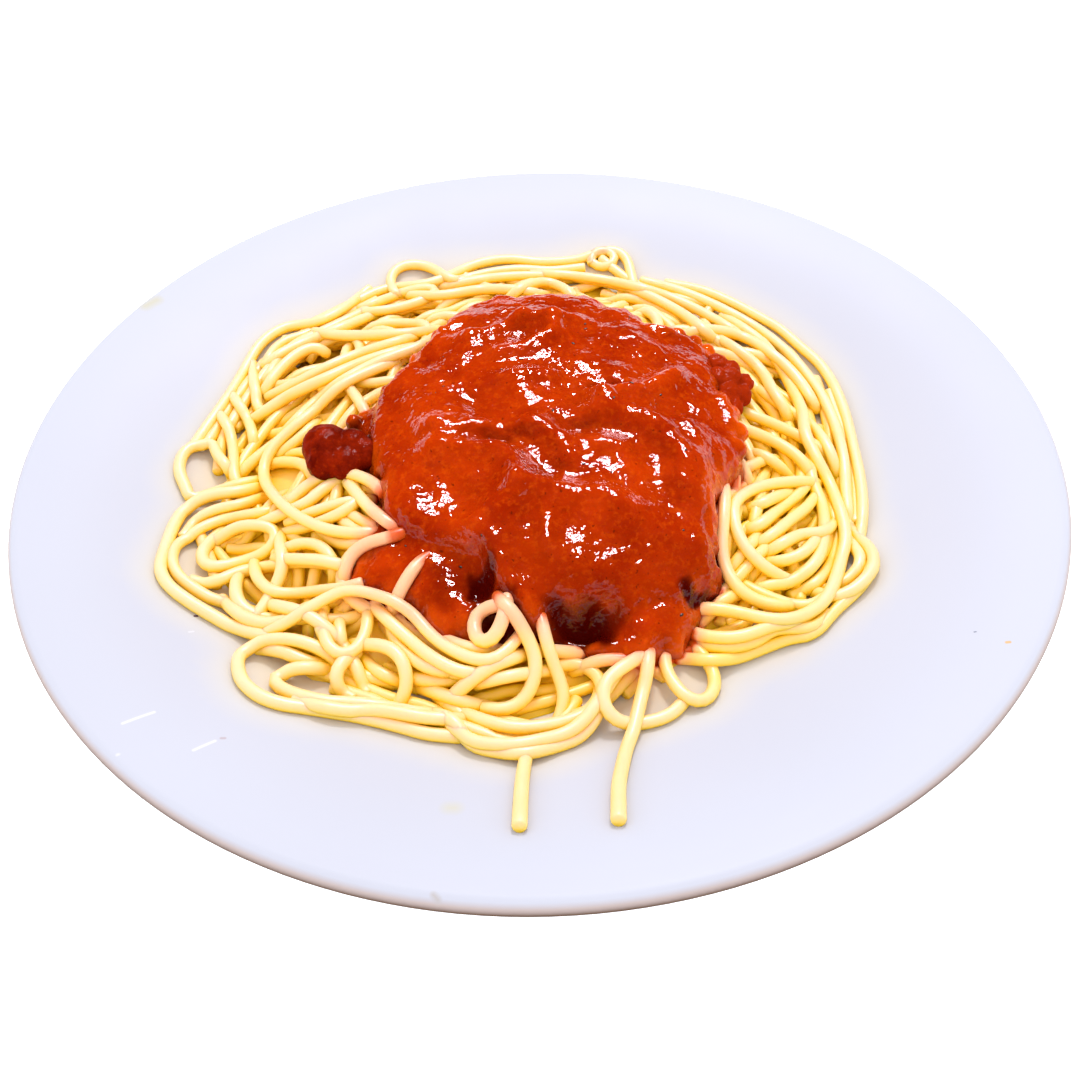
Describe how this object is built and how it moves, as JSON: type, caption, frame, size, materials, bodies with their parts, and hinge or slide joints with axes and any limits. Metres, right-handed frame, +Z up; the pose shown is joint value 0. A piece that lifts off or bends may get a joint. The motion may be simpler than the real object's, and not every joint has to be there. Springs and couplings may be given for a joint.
{
  "type": "spaghetti bolognese on a plate",
  "caption": "Heap of cooked spaghetti with a glossy tomato meat sauce over its middle, served on a round white coupe plate with a low foot ring.",
  "frame": {"origin": "under the middle of the plate, on the surface that its foot ring stands on", "axes": "+Z up, out of the plate; -Y towards the side where two noodle ends hang off the heap; +X to the right when seen from there"},
  "size_m": [0.25, 0.25, 0.0356],
  "materials": {
    "porcelain": "glazed white porcelain, smooth and glossy",
    "pasta": "moist cooked pasta, pale yellow, soft sheen",
    "sauce": "wet tomato meat sauce, glossy and lumpy",
    "meat": "dark browned meat coated with sauce"
  },
  "bodies": {
    "root": {"plate": "porcelain", "noodles": "pasta", "sauce": "sauce", "meat_lump": "meat", "mince_clump": "meat"}
  },
  "joints": []
}
